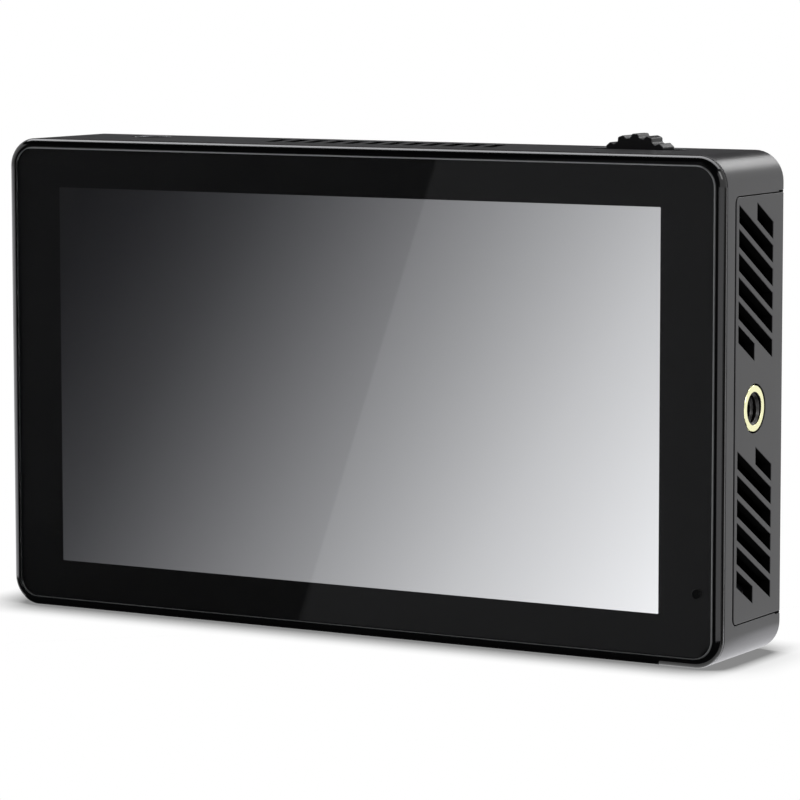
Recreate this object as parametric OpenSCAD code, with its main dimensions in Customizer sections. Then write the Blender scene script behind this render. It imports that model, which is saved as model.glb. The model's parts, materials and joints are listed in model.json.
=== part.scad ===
// Six-inch camera field monitor: cover glass in a crowned bezel, a ring-shaped case, a back cover and
// two side panels, the display and its board, a power button, a scroll wheel and a battery plate.
// Millimetres. X to the right, Y towards the back, Z up. Origin: bottom centre of the whole monitor.

/* [Case] */
// Overall width of the case
case_w = 157.7; // [150:0.1:172]
// Overall height of the case
case_h = 93.8; // [92:0.1:104]
// Depth of the case behind the front bezel
case_d = 24.5; // [24:0.1:32]
// Outer corner radius of the case
case_r = 5.7; // [5:0.1:9]
// Wall thickness of the case, the back cover and the side panels
wall = 2.0; // [1.6:0.1:2.4]
// Chamfer on the case's outer front and back edges
edge_break = 0.3; // [0.1:0.05:0.5]

/* [Front] */
// Depth of the glossy lip in front of the case
lip_d = 1.5; // [1.2:0.1:2]
// Width of the glossy lip seen from the front, up to the glass
lip_w = 1.73; // [1.5:0.01:2.6]
// Width of the rounded part of the lip
crown_w = 1.45; // [0.8:0.05:1.45]
// Thickness of the cover glass
glass_t = 1.1; // [0.7:0.1:1.1]
// Thickness of the adhesive frame behind the glass
adhesive_t = 0.3; // [0.2:0.05:0.3]
// Radius of the light sensor's window
sensor_r = 0.8; // [0.5:0.1:1.2]
// Distance of the light sensor from the case's right edge
sensor_from_right = 5.45; // [4.3:0.05:5.5]
// Height of the light sensor above the bottom
sensor_z = 13.9; // [10:0.1:80]

/* [Display] */
// Width of the black border at each side of the picture
border_side = 12.45; // [11.85:0.05:18.85]
// Width of the black border above and below the picture
border_top = 9.55; // [8.9:0.05:13.9]
// Margin of the panel's own glass round the picture area
panel_margin = 2.5; // [1.5:0.1:2.5]
// Thickness of the display panel
panel_t = 1.3; // [1:0.1:1.6]
// Thickness of the backlight unit
backlight_t = 2.8; // [2:0.1:3]
// Width of the flat display cable
cable_w = 30; // [16:1:40]
// Thickness of the flat display cable
cable_t = 0.3; // [0.2:0.05:0.4]
// How far the display cable runs up over the board
cable_tail = 8; // [4:0.5:12]

/* [Chassis and board] */
// Thickness of the metal chassis
chassis_t = 1.0; // [0.8:0.1:1.2]
// Thickness of the circuit boards
board_t = 1.6; // [1:0.1:1.6]
// Height of the posts between chassis and main board
standoff_h = 3.5; // [3:0.1:4]
// Radius of the board posts
standoff_r = 2.4; // [2:0.1:3]
// Height of the main board's lower edge above the bottom
board_z = 13; // [12.5:0.1:14]
// Gap between the main board and the top wall, for the button's and the wheel's parts
board_top_gap = 25.8; // [24.8:0.1:28]
// Gap between the main board and the right side wall
board_right_gap = 15.35; // [14:0.05:22]
// Gap between the main board's left edge and the case wall
board_side_gap = 2.35; // [2:0.05:2.6]
// Distance of the board's screw holes from its other edges
board_hole_inset = 4.5; // [3.5:0.1:5]
// Distance of the board's left screw holes from its left edge, clear of the sockets
board_hole_left = 14.5; // [14:0.1:16]
// Distance of the cover posts' middles from the case's side walls
cover_post_in_x = 6.3; // [4:0.1:6.5]
// Distance of the cover posts' middles from the top and bottom walls
cover_post_in_z = 8.2; // [7.9:0.1:8.3]
// Radius of the posts that hold the back cover
cover_post_r = 2.6; // [2.2:0.1:3]
// Side of the square processor chip
chip_w = 14; // [10:1:20]
// Thickness of the processor chip
chip_t = 1.2; // [0.8:0.1:1.6]
// Side of the square heat sink
sink_w = 30; // [22:1:40]
// Gap between the heat sink and the battery plate
sink_gap = 1.8; // [0.8:0.1:4]
// Thickness of the heat sink's base and fins
sink_base_t = 1.5; // [1:0.1:1.8]
// Number of fins on the heat sink
sink_fins = 8; // [4:1:8]

/* [Screws] */
// Radius of the screw shanks
screw_r = 1.0; // [0.8:0.05:1.2]
// Radius of the screw heads
screw_head_r = 1.9; // [1.7:0.05:2.0]
// Thickness of the screw heads
screw_head_t = 1.1; // [0.8:0.1:1.1]
// Length of the screw shanks below the head, cover screws
cover_screw_l = 6; // [4:0.5:8]
// Length of the screw shanks below the head, board screws
board_screw_l = 4.4; // [3:0.1:4.8]
// Radius of the driver recess in a screw head
driver_r = 0.9; // [0.6:0.1:1]
// Depth of the driver recess in a screw head
driver_d = 0.6; // [0.3:0.1:0.6]

/* [Side vents] */
// Height of the bars between the slanted side slots
vent_bar = 1.23; // [0.8:0.01:2.5]
// Fall of the slots towards the back, per millimetre of depth
vent_slope = 0.564; // [0.3:0.001:0.6]
// Number of slots in a group that run the full depth
vent_full = 5; // [3:1:5]
// Distance of the slots' front ends from the case's front edge
vent_front = 5.2; // [5:0.1:6]
// Distance of the slots' back ends from the case's back
vent_back = 4.7; // [4.5:0.1:7]
// Length along the depth of the short slots at the ends of a group
vent_short = 6.9; // [4:0.1:7]
// Distance of the upper group from the side panel's top
vent_top_end = 1.4; // [1.2:0.1:4]
// Distance of the lower group from the side panel's bottom
vent_low_end = 3.1; // [1.2:0.1:4]
// Height between the two groups, where the thread insert sits
vent_group_gap = 16.1; // [14:0.1:20]

/* [Top vents] */
// Number of slots in the top
top_vents = 12; // [4:1:12]
// Pitch of the top slots
top_vent_pitch = 4.4; // [4:0.1:4.6]
// Width of a top slot
top_vent_w = 3.0; // [1.5:0.1:3]
// Distance of the top slots from the case's front edge
top_vent_front = 9; // [8.5:0.1:12]
// Distance of the top slots from the case's back
top_vent_back = 3.5; // [3:0.1:8]
// Sideways shift of the top slots towards the left, per millimetre of depth
top_vent_slope = 0.25; // [0:0.01:0.4]
// Position of the top vents' middle, left to right
top_vents_x = -1.5; // [-6:0.1:4]

/* [Back cover and side panels] */
// Distance of the side panels' front edge from the case's front edge
panel_front = 3.7; // [3.3:0.1:4.5]
// Distance of the side panels' ends from the case's top and bottom
panel_end = 7.7; // [7.2:0.1:8.1]
// Corner radius at the front of the side panels
panel_r = 1.3; // [0.8:0.1:3]
// Reach of the feet that hold a side panel under the back cover
foot_w = 10; // [9:0.5:12]
// Height of a side panel's foot
foot_h = 5.2; // [4.8:0.1:5.4]
// Thickness of a side panel's foot
foot_t = 1.5; // [1:0.1:2]
// Open seam between the back cover, the side panels and the case
seam = 0.2; // [0.1:0.05:0.3]
// Height of the small notch at the back end of each side seam
notch_h = 0.45; // [0.35:0.05:0.8]
// Length of the small notch at the back end of each side seam
notch_l = 2.3; // [1.5:0.1:3]

/* [Camera thread inserts] */
// Outer radius of the brass inserts
insert_r = 4.35; // [4:0.05:4.6]
// Length of the brass inserts
insert_l = 7.0; // [5:0.1:7.4]
// Radius of the threaded hole, at the thread's crests
thread_r = 2.6; // [2.5:0.05:2.8]
// Radius of the threaded hole's chamfered mouth
thread_mouth_r = 3.2; // [3.1:0.05:3.4]
// Distance of the side insert's middle from the case's front edge
side_insert_depth = 12.4; // [11.5:0.1:13]
// Radius of the bosses that hold the inserts
boss_r = 6.5; // [6:0.1:6.5]
// Thickness of the bosses' end wall
boss_end = 1.5; // [1:0.1:2]
// Width of the shadow gap round an insert's face
insert_groove = 0.25; // [0.15:0.05:0.4]
// Depth of the shadow gap round an insert's face
insert_groove_d = 0.6; // [0.3:0.1:0.8]

/* [Power button] */
// Radius of the power button's cap
button_r = 3.6; // [3:0.1:4]
// Distance of the power button's middle from the case's left edge
button_from_left = 22; // [19:0.05:28]
// Radius of the button's flange under the top wall
button_flange_r = 4.6; // [4.5:0.1:5]
// Thickness of the button's flange
button_flange_t = 1.2; // [0.8:0.1:1.4]
// Height of the cap above the top of its hole's chamfer (negative is sunk)
button_rise = -0.1; // [-0.4:0.05:0.3]
// Width and depth of the chamfer round the button
button_chamfer = 0.6; // [0.3:0.05:0.8]
// How far the button travels
button_travel = 0.5; // [0.3:0.05:0.6]

/* [Scroll wheel] */
// Radius over the wheel's teeth
wheel_r = 8.7; // [8:0.1:9]
// Thickness of the wheel
wheel_t = 4.8; // [3.5:0.1:4.9]
// Number of teeth on the wheel
wheel_teeth = 18; // [12:1:24]
// Height of the wheel's teeth
tooth_h = 0.75; // [0.4:0.05:1]
// Width of a tooth at its tip
tooth_tip_w = 1.2; // [0.8:0.05:1.4]
// Width of a tooth at its root
tooth_root_w = 1.9; // [1.5:0.05:2]
// Turn of the teeth from straight up, in degrees
tooth_phase = -0.6; // [-10:0.1:10]
// Depth of the wheel's axle below the top of the case
axle_depth = 5.8; // [5.5:0.1:6.5]
// Radius of the wheel's axle
axle_r = 1.0; // [0.8:0.05:1.2]
// Distance of the wheel's middle from the case's right edge
wheel_from_right = 26.45; // [25:0.05:29]
// Length of the slot in the top for the wheel
wheel_slot_l = 19.7; // [18.6:0.1:21]
// Gap at each side of the wheel in its slot
wheel_slot_gap = 0.7; // [0.4:0.05:0.9]
// Chamfer round the wheel's slot
slot_chamfer = 0.4; // [0.2:0.05:0.5]
// Distance of the button's and the wheel's middles from the case's back
controls_back = 7.0; // [6.7:0.1:7.5]
// How far the wheel and its carrier are pressed down to select
select_travel = 0.25; // [0.15:0.05:0.25]
// Thickness of the carrier's two ears
ear_t = 1.0; // [0.8:0.1:1.2]
// Radius of the ears' round tops
ear_r = 3.2; // [2.4:0.1:3.4]
// Thickness of the carrier's base
carrier_base_t = 1.8; // [1.4:0.1:2.4]
// Gap between the wheel and each ear of the carrier
ear_gap = 0.4; // [0.3:0.05:0.6]
// Gap between the wheel and the carrier's base
wheel_under_gap = 0.9; // [0.4:0.1:1.2]
// Length of the carrier's base
carrier_l = 20; // [18:0.5:22]
// Radius of the carrier's two guide pins
guide_r = 1.0; // [0.8:0.05:1.2]
// Side of the square rotary encoder
encoder_w = 6.6; // [5:0.1:6.6]
// Thickness of the rotary encoder
encoder_t = 3.4; // [2.4:0.1:3.6]
// How far the axle reaches into the encoder
axle_in_encoder = 2.0; // [1:0.1:2.2]

/* [Switches] */
// Side of the square tact switches
switch_w = 6.0; // [4.5:0.1:6.5]
// Height of a tact switch's body
switch_h = 3.5; // [2.5:0.1:4]
// Radius of a tact switch's stem
stem_r = 1.7; // [1:0.1:2]
// Height of a tact switch's stem
stem_h = 1.2; // [0.8:0.1:1.6]
// Room left under a pressed button or carrier
press_margin = 0.05; // [0.03:0.01:0.1]
// Thickness of the small boards under the switches
small_board_t = 1.2; // [0.8:0.1:1.6]

/* [Sockets] */
// Height of a video socket's metal shell, along its long side
video_l = 15.0; // [14.8:0.1:15.4]
// Thickness of a video socket's metal shell
video_t = 5.8; // [5.4:0.1:6.2]
// Depth of a video socket
video_d = 11.5; // [10:0.1:12.5]
// Sheet thickness of a video socket's shell
video_sheet = 0.4; // [0.3:0.05:0.5]
// Corner cut along a video socket's lower side
video_corner = 1.5; // [1:0.1:2]
// How far the tongue in a video socket stays behind its mouth
tongue_in = 1.2; // [0.8:0.1:2]
// Thickness of the tongue in a video socket
tongue_t = 1.2; // [1:0.1:1.4]
// Gap between the tongue's ends and the video socket's outside
tongue_gap = 2; // [1.5:0.1:3]
// Side of the headphone jack's body
phone_w = 7.0; // [6:0.1:7]
// Thickness of the headphone jack's body
phone_t = 6.0; // [6:0.1:6.6]
// Radius of the headphone jack's hole
phone_r = 1.8; // [1.75:0.01:1.85]
// Radius of the headphone jack's nose
phone_nose_r = 2.9; // [2.5:0.1:3]
// Depth of the headphone jack's hole
phone_hole_d = 12; // [11:0.5:12]
// Side of the power jack's square body
power_w = 9.0; // [8.6:0.1:9]
// Radius of the power jack's hole
power_r = 2.8; // [2.75:0.05:2.9]
// Radius of the power jack's centre pin
power_pin_r = 1.0; // [0.8:0.05:1.1]
// Radius of the power jack's nose
power_nose_r = 3.7; // [3.4:0.1:3.9]
// Depth of the power jack's hole
power_hole_d = 9.5; // [8:0.5:11]
// How far the power jack's pin stays behind its mouth
power_pin_in = 1.0; // [0.5:0.1:2]
// Depth of the round jacks' bodies
jack_d = 12.0; // [11:0.1:13]
// How far the sockets' mouths stay inside the case's side
mouth_inset = 0.5; // [0.2:0.1:0.8]
// Gap round the sockets in the side panel
mouth_gap = 0.3; // [0.2:0.05:0.4]
// Distance of the lowest socket from the main board's lower edge
socket_edge = 0.3; // [0.2:0.1:0.5]
// Gap between neighbouring sockets
socket_gap = 1.7; // [1:0.1:1.8]

/* [Battery plate] */
// Width of the battery plate's pocket
pocket_w = 39.6; // [38.6:0.1:41]
// Distance of the battery plate's pocket from the case's top and bottom
pocket_end = 9.9; // [8.9:0.1:11.9]
// Depth of the battery plate's pocket
pocket_d = 3.2; // [2.6:0.1:3.2]
// Width of the rim round the pocket
rim_w = 3.0; // [2.5:0.1:4]
// Thickness of the pocket's floor
pocket_floor = 1.5; // [1.2:0.1:1.8]
// Width of the flange behind the back cover
flange_w = 2.0; // [1.5:0.1:2.5]
// Thickness of the flange behind the back cover
flange_t = 1.0; // [0.8:0.1:1.2]
// How far a battery hook reaches over the pocket
hook_reach = 1.8; // [1.2:0.1:2]
// Length of a battery hook
hook_l = 7; // [5:0.5:9]
// Thickness of a battery hook
hook_t = 1.2; // [1:0.1:1.4]
// Distance between the lower and the upper pair of hooks
hook_pitch = 34; // [28:0.5:40]
// Height of the contact block inside the pocket
contact_block_h = 6; // [4:0.5:8]
// Width of the contact block inside the pocket
contact_block_w = 17; // [14:0.5:18]
// Length of a contact blade
blade_l = 5; // [3:0.5:6]
// Thickness of a contact blade
blade_t = 0.8; // [0.5:0.1:1]
// Depth of a contact blade
blade_d = 2.0; // [1.4:0.1:2.2]
// Distance between contact blades
blade_pitch = 6; // [4:0.5:6.5]
// Width and height of the battery latch
latch_w = 6; // [4:0.5:7]
// How far the battery latch stands above the pocket's floor
latch_rise = 2.8; // [2:0.1:2.8]
// Distance of the battery latch from the pocket's lower edge
latch_edge = 1.5; // [1.2:0.1:3]
// Width of the flange round the battery latch
latch_flange = 1.0; // [0.6:0.1:1.2]
// Position of the battery latch, left to right
latch_x = 14; // [13.5:0.1:14.5]

/* [Fits] */
// Gap between pieces that slip into one another
slip = 0.1; // [0.05:0.01:0.15]
// Running clearance round a turning or sliding pin
run = 0.05; // [0.03:0.01:0.08]
// Gap round the display panel and the backlight
display_gap = 0.3; // [0.2:0.05:0.4]
// Gap between the chassis and the case
chassis_gap = 0.3; // [0.2:0.05:0.5]
// Play round a part that moves in a hole of the case
play = 0.2; // [0.15:0.05:0.3]

/* [Hidden] */
$fn = 48;
// Extra length of cuts past the faces that they open
over = 1;

// Places along the depth
front_y = -(case_d + lip_d) / 2;
case_y = front_y + lip_d;
back_y = -front_y;
glass_back = front_y + glass_t;
ledge_y = glass_back + adhesive_t;
panel_back = glass_back + panel_t;
backlight_back = panel_back + backlight_t;
chassis_back = backlight_back + chassis_t;
board_front = chassis_back + standoff_h;
board_back = board_front + board_t;
cover_inner_y = back_y - wall;
controls_y = back_y - controls_back;
side_insert_y = case_y + side_insert_depth;

// Places across and up
mid_z = case_h / 2;
inner_w = case_w - 2 * wall;
inner_h = case_h - 2 * wall;
inner_r = case_r - wall;
inner_x = inner_w / 2;
inner_top = case_h - wall;
picture_w = case_w - 2 * border_side;
picture_h = case_h - 2 * border_top;
opening_w = picture_w + 2 * panel_margin + 4 * display_gap;
opening_h = picture_h + 2 * panel_margin + 4 * display_gap;
opening_r = 1;
glass_w = case_w - 2 * lip_w;
glass_h = case_h - 2 * lip_w;
glass_r = case_r - lip_w;
sensor_x = case_w / 2 - sensor_from_right;
board_left = -inner_x + board_side_gap;
board_right = inner_x - board_right_gap;
board_top = inner_top - board_top_gap;
post_x = inner_x - cover_post_in_x;
post_z = wall + cover_post_in_z;
screw_hole_r = screw_r + run;

// Posts and screws
board_holes = [
  for (x = [board_left + board_hole_left, board_right - board_hole_inset])
    for (z = [board_z + board_hole_inset, board_top - board_hole_inset]) [x, z]
];
cover_holes = [for (x = [-post_x, post_x], z = [post_z, case_h - post_z]) [x, z]];

// Side panels and their vents
panel_h = case_h - 2 * panel_end;
foot_y = cover_inner_y - foot_t;
vent_len = case_d - vent_front - vent_back;
vent_group_h = (panel_h - vent_top_end - vent_low_end - vent_group_gap) / 2;
vent_pitch = (vent_group_h + vent_bar - vent_slope * vent_len) / vent_full;
vent_slot_h = vent_pitch - vent_bar;
vent_top_z = case_h - panel_end - vent_top_end;
top_vent_len = case_d - top_vent_front - top_vent_back;

// Scroll wheel
wheel_x = case_w / 2 - wheel_from_right;
axle_z = case_h - axle_depth;
wheel_front = controls_y - wheel_t / 2;
wheel_back = controls_y + wheel_t / 2;
carrier_top = axle_z - wheel_r - wheel_under_gap;
carrier_bottom = carrier_top - carrier_base_t;
carrier_front = wheel_front - ear_gap - ear_t;
carrier_back = wheel_back + ear_gap + ear_t;
select_gap = select_travel + press_margin;
wheel_board_top = carrier_bottom - select_gap - stem_h - switch_h;
wheel_shelf_top = wheel_board_top - small_board_t;
guide_x = carrier_l / 2 - 2 * guide_r;
encoder_front = carrier_front - encoder_t;

// Power button
button_x = -case_w / 2 + button_from_left;
button_hole_r = button_r + play;
button_top = case_h + button_rise;
button_bottom = inner_top - button_flange_t;
key_board_top = button_bottom - button_travel - press_margin - stem_h - switch_h;
key_shelf_top = key_board_top - small_board_t;

// Shelves of the chassis under the two small boards
small_board_edge = 1;
small_board_d = switch_w + 2 * small_board_edge;
shelf_back = controls_y + small_board_d / 2;
wheel_shelf_w = carrier_l + 2 * small_board_edge;
key_board_w = 2 * switch_w;
key_shelf_w = key_board_w + 2 * small_board_edge;

// Battery plate
plate_w = pocket_w + 2 * rim_w;
pocket_h = case_h - 2 * pocket_end;
plate_h = pocket_h + 2 * rim_w;
pocket_y = back_y - pocket_d;
plate_front = pocket_y - pocket_floor;
plate_r = 2;
pocket_bottom = mid_z - pocket_h / 2;
latch_z = pocket_bottom + latch_edge + latch_w / 2;
sink_front = board_back + chip_t;
sink_back = plate_front - sink_gap;

// Sockets and inserts
mouth_x = -case_w / 2 + mouth_inset;
phone_y = board_back + phone_t / 2;
power_y = board_back + power_w / 2;
power_z = board_z + socket_edge + power_w / 2;
phone_z = power_z + power_w / 2 + socket_gap + phone_w / 2;
video_out_z = phone_z + phone_w / 2 + socket_gap + video_l / 2;
video_in_z = video_out_z + video_l + socket_gap;
bottom_insert_y = case_y + case_d / 2;

module rounded_rect(w, h, r) {
  square([w - 2 * r, h], center = true);
  square([w, h - 2 * r], center = true);
  for (x = [-1, 1], z = [-1, 1]) translate([x * (w / 2 - r), z * (h / 2 - r)]) circle(r);
}

// A flat piece across the front, from depth y0 to depth y1
module plate(w, h, r, y0, y1) {
  translate([0, y1, mid_z]) rotate([90, 0, 0]) linear_extrude(y1 - y0) rounded_rect(w, h, r);
}

// A block from one corner to the opposite one
module block(low, high) {
  translate(low) cube(high - low);
}

// A cylinder along the depth, from y0 to y1, at a place across and up
module rod_y(x, z, r, y0, y1) {
  translate([x, y0, z]) rotate([-90, 0, 0]) cylinder(r = r, h = y1 - y0);
}

// A cylinder from left to right, from x0 to x1, at a place along the depth and up
module rod_x(y, z, r, x0, x1) {
  translate([x0, y, z]) rotate([0, 90, 0]) cylinder(r = r, h = x1 - x0);
}

// Extrudes an outline drawn in depth and height from x0 to x1
module across(x0, x1) {
  translate([x0, 0, 0]) rotate([90, 0, 90]) linear_extrude(x1 - x0) children();
}

// A rounded ring round the front whose outer face follows a profile of [inset, depth] points
module edged_ring(w, h, r, profile) {
  last = len(profile) - 1;
  section = concat(
    [[0, profile[0][1]]],
    [for (p = profile) [r - p[0], p[1]]],
    [[0, profile[last][1]]]
  );
  edge_x = w / 2 - r;
  edge_z = h / 2 - r;
  translate([0, 0, mid_z]) {
    for (side = [0, 1]) {
      mirror([side, 0, 0]) translate([edge_x, 0, -edge_z]) linear_extrude(2 * edge_z) polygon(section);
      mirror([0, 0, side]) translate([-edge_x, 0, edge_z]) rotate([90, 0, 90])
        linear_extrude(2 * edge_x) polygon([for (p = section) [p[1], p[0]]]);
      for (up = [0, 1]) mirror([side, 0, 0]) mirror([0, 0, up]) translate([edge_x, 0, edge_z])
        rotate([90, 0, 0]) rotate_extrude(angle = 90) polygon([for (p = section) [p[0], -p[1]]]);
    }
  }
}

module cover_glass() {
  color([0.05, 0.05, 0.06]) plate(glass_w, glass_h, glass_r, front_y, glass_back);
}

module glass_adhesive() {
  adhesive_inset = 0.6;
  color([0.1, 0.1, 0.1]) difference() {
    plate(glass_w - 2 * adhesive_inset, glass_h - 2 * adhesive_inset, glass_r - adhesive_inset,
      glass_back, ledge_y);
    plate(opening_w, opening_h, opening_r, glass_back - over, ledge_y + over);
    rod_y(sensor_x, sensor_z, sensor_r + play, glass_back - over, ledge_y + over);
  }
}

module front_bezel() {
  steps = 8;
  crown = [
    for (i = [0 : steps]) let (a = 90 * i / steps) [crown_w * (1 - sin(a)), case_y - lip_d * cos(a)]
  ];
  spigot_r = inner_r - slip;
  color([0.02, 0.02, 0.02]) difference() {
    union() {
      edged_ring(case_w, case_h, case_r, crown);
      plate(inner_w - 2 * slip, inner_h - 2 * slip, spigot_r, ledge_y, backlight_back);
    }
    plate(glass_w + 2 * slip, glass_h + 2 * slip, glass_r + slip, front_y - over, ledge_y);
    plate(opening_w, opening_h, opening_r, front_y - over, backlight_back + over);
    rod_y(sensor_x, sensor_z, sensor_r + play, front_y, backlight_back + over);
  }
}

module light_sensor() {
  color([0.12, 0.1, 0.16]) rod_y(sensor_x, sensor_z, sensor_r, glass_back, backlight_back);
}

module display_panel() {
  half_w = picture_w / 2 + panel_margin;
  half_h = picture_h / 2 + panel_margin;
  color([0.45, 0.45, 0.47])
    block([-half_w, glass_back, mid_z - half_h], [half_w, panel_back, mid_z + half_h]);
}

module backlight_unit() {
  color([0.8, 0.8, 0.8])
    plate(opening_w - 2 * display_gap, opening_h - 2 * display_gap, opening_r, panel_back, backlight_back);
}

// The flat cable runs back from the display through the chassis, then up over the board
module display_cable() {
  low = board_z - 3 * cable_t;
  color([0.75, 0.5, 0.2]) across(-cable_w / 2, cable_w / 2) polygon([
    [backlight_back, low],
    [board_back + cable_t, low],
    [board_back + cable_t, board_z + cable_tail],
    [board_back, board_z + cable_tail],
    [board_back, low + cable_t],
    [backlight_back, low + cable_t]
  ]);
}

module shelf(x, w, top) {
  block([x - w / 2, backlight_back, top - chassis_t], [x + w / 2, shelf_back, top]);
}

module chassis() {
  chassis_w = inner_w - 2 * chassis_gap;
  chassis_h = inner_h - 2 * chassis_gap;
  color([0.6, 0.62, 0.65]) difference() {
    union() {
      plate(chassis_w, chassis_h, inner_r - chassis_gap, backlight_back, chassis_back);
      shelf(wheel_x, wheel_shelf_w, wheel_shelf_top);
      shelf(button_x, key_shelf_w, key_shelf_top);
    }
    block([-cable_w / 2 - 3 * cable_t, backlight_back - over, board_z - 6 * cable_t],
      [cable_w / 2 + 3 * cable_t, chassis_back + over, board_z + 3 * cable_t]);
    for (side = [-1, 1]) translate([wheel_x + side * guide_x, controls_y, wheel_shelf_top - 2 * chassis_t])
      cylinder(r = guide_r + 2 * play, h = 3 * chassis_t);
  }
}

module main_board() {
  color([0.05, 0.25, 0.12]) difference() {
    block([board_left, board_front, board_z], [board_right, board_back, board_top]);
    for (p = board_holes) rod_y(p[0], p[1], screw_hole_r + slip, board_front - over, board_back + over);
  }
}

module board_standoffs() {
  color([0.8, 0.75, 0.5]) for (p = board_holes) difference() {
    rod_y(p[0], p[1], standoff_r, chassis_back, board_front);
    rod_y(p[0], p[1], screw_hole_r, chassis_back - over, board_front + over);
  }
}

// A screw that stands in the Y direction, with the underside of its head at seat_y
module screw(x, z, seat_y, shank_l) {
  head_y = seat_y + screw_head_t;
  difference() {
    union() {
      rod_y(x, z, screw_head_r, seat_y, head_y);
      rod_y(x, z, screw_r, seat_y - shank_l, seat_y);
    }
    translate([x, head_y - driver_d, z]) rotate([-90, 0, 0])
      cylinder(r = driver_r, h = driver_d + over, $fn = 6);
  }
}

module board_screws() {
  color([0.7, 0.7, 0.72]) for (p = board_holes) screw(p[0], p[1], board_back, board_screw_l);
}

module processor() {
  color([0.08, 0.08, 0.09]) block([-chip_w / 2, board_back, mid_z - chip_w / 2],
    [chip_w / 2, sink_front, mid_z + chip_w / 2]);
}

module heat_sink() {
  half = sink_w / 2;
  pitch = (sink_w - sink_base_t) / (sink_fins - 1);
  color([0.3, 0.3, 0.32]) {
    block([-half, sink_front, mid_z - half], [half, sink_front + sink_base_t, mid_z + half]);
    for (i = [0 : sink_fins - 1]) {
      x = -half + i * pitch;
      block([x, sink_front, mid_z - half], [x + sink_base_t, sink_back, mid_z + half]);
    }
  }
}

// Outline of a video socket in depth and height, with two cut corners towards the board
module video_outline(z, inset) {
  low_y = board_back + inset;
  high_y = board_back + video_t - inset;
  half = video_l / 2 - inset;
  polygon([
    [high_y, z - half],
    [high_y, z + half],
    [low_y + video_corner, z + half],
    [low_y, z + half - video_corner],
    [low_y, z - half + video_corner],
    [low_y + video_corner, z - half]
  ]);
}

module video_socket(z) {
  back_x = mouth_x + video_d;
  tongue_y = board_back + video_t / 2;
  tongue_l = video_l - 2 * tongue_gap;
  difference() {
    across(mouth_x, back_x) video_outline(z, 0);
    across(mouth_x - over, back_x - 2 * video_sheet) video_outline(z, video_sheet);
  }
  block([mouth_x + tongue_in, tongue_y - tongue_t / 2, z - tongue_l / 2],
    [back_x - video_sheet, tongue_y + tongue_t / 2, z + tongue_l / 2]);
}

module hdmi_input() {
  color([0.72, 0.72, 0.74]) video_socket(video_in_z);
}

module hdmi_output() {
  color([0.72, 0.72, 0.74]) video_socket(video_out_z);
}

// A round jack: square body on the board, round nose in the side panel, and its hole
module round_jack(y, z, w, nose_r, hole_r, hole_d) {
  body_x = -inner_x + chassis_gap;
  difference() {
    union() {
      block([body_x, board_back, z - w / 2], [body_x + jack_d, 2 * y - board_back, z + w / 2]);
      rod_x(y, z, nose_r, mouth_x, body_x + over);
    }
    rod_x(y, z, hole_r, mouth_x - over, mouth_x + hole_d);
  }
}

module headphone_jack() {
  color([0.06, 0.06, 0.06]) round_jack(phone_y, phone_z, phone_w, phone_nose_r, phone_r, phone_hole_d);
}

module dc_jack() {
  color([0.06, 0.06, 0.06]) {
    round_jack(power_y, power_z, power_w, power_nose_r, power_r, power_hole_d);
    rod_x(power_y, power_z, power_pin_r, mouth_x + power_pin_in, mouth_x + power_hole_d + over);
  }
}

// One slanted slot, drawn in depth and height; rank 0 is the first full slot and counts downwards
module slanted_slot(rank, from, to, top) {
  start = case_y + vent_front;
  high = [for (d = [from, to]) top - rank * vent_pitch - vent_slope * d];
  polygon([
    [start + from, high[0]],
    [start + to, high[1]],
    [start + to, high[1] - vent_slot_h],
    [start + from, high[0] - vent_slot_h]
  ]);
}

module vent_group(top) {
  slanted_slot(-1, vent_len - vent_short, vent_len, top);
  for (rank = [0 : vent_full - 1]) slanted_slot(rank, 0, vent_len, top);
  slanted_slot(vent_full, 0, vent_short, top);
}

// Outline of a side panel in depth and height, grown by a gap, with its two front corners rounded
module panel_outline(gap) {
  low_y = case_y + panel_front - gap;
  half = panel_h / 2 + gap;
  r = panel_r + gap;
  difference() {
    translate([low_y, mid_z - half]) square([back_y + over - low_y, 2 * half]);
    for (up = [-1, 1]) translate([low_y, mid_z + up * half]) difference() {
      square(2 * r, center = true);
      translate([r, -up * r]) circle(r);
    }
  }
}

module wheel_slot(x, y) {
  slot_w = wheel_t + 2 * wheel_slot_gap;
  end = (wheel_slot_l - slot_w) / 2;
  translate([x, y, inner_top - over]) linear_extrude(wall + 2 * over) {
    square([2 * end, slot_w], center = true);
    for (side = [-1, 1]) translate([side * end, 0]) circle(slot_w / 2);
  }
  translate([x, y, case_h - slot_chamfer]) {
    for (side = [-1, 1]) translate([side * end, 0, 0])
      cylinder(r1 = slot_w / 2, r2 = slot_w / 2 + 2 * slot_chamfer, h = 2 * slot_chamfer);
    translate([-end, 0, 0]) rotate([90, 0, 90]) linear_extrude(2 * end) polygon([
      [-slot_w / 2, 0],
      [slot_w / 2, 0],
      [slot_w / 2 + 2 * slot_chamfer, 2 * slot_chamfer],
      [-slot_w / 2 - 2 * slot_chamfer, 2 * slot_chamfer]
    ]);
  }
}

module top_vent_slots() {
  y0 = case_y + top_vent_front;
  lean = top_vent_slope * top_vent_len;
  for (i = [0 : top_vents - 1]) {
    x = top_vents_x + (i - (top_vents - 1) / 2) * top_vent_pitch + lean / 2;
    translate([0, 0, inner_top - over]) linear_extrude(wall + 2 * over) polygon([
      [x - top_vent_w / 2, y0],
      [x + top_vent_w / 2, y0],
      [x + top_vent_w / 2 - lean, y0 + top_vent_len],
      [x - top_vent_w / 2 - lean, y0 + top_vent_len]
    ]);
  }
}

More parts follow.
